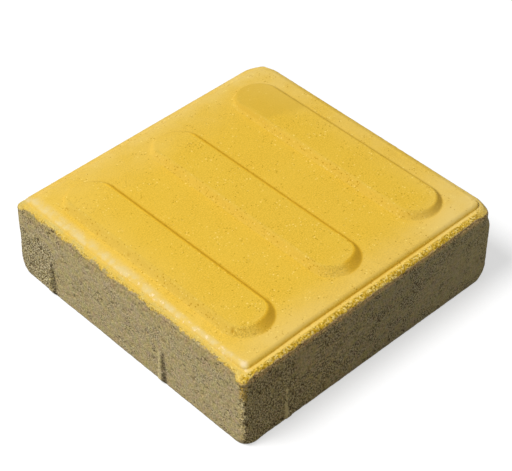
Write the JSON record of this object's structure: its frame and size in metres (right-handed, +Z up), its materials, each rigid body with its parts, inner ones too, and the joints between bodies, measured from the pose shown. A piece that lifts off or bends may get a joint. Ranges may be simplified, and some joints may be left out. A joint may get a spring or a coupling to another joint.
{
  "type": "tactile paving slab",
  "caption": "Square two-layer concrete paving slab with raised round-ended guide bars, a stepped rounded tread edge and small spacer nibs on its sides.",
  "frame": {"origin": "middle of the flat bed face that the slab lies on", "axes": "+Z up from the bed face through the tread, +Y along the guide bars, +X across them"},
  "size_m": [0.204, 0.204, 0.06],
  "materials": {
    "yellow_facing_concrete": "pressed pigmented face mix, fine open grain, matt",
    "grey_base_concrete": "coarse pressed base mix, warm grey, pitted, matt"
  },
  "bodies": {
    "root": {"facing_layer": "yellow_facing_concrete", "base_layer": "grey_base_concrete"}
  },
  "joints": []
}
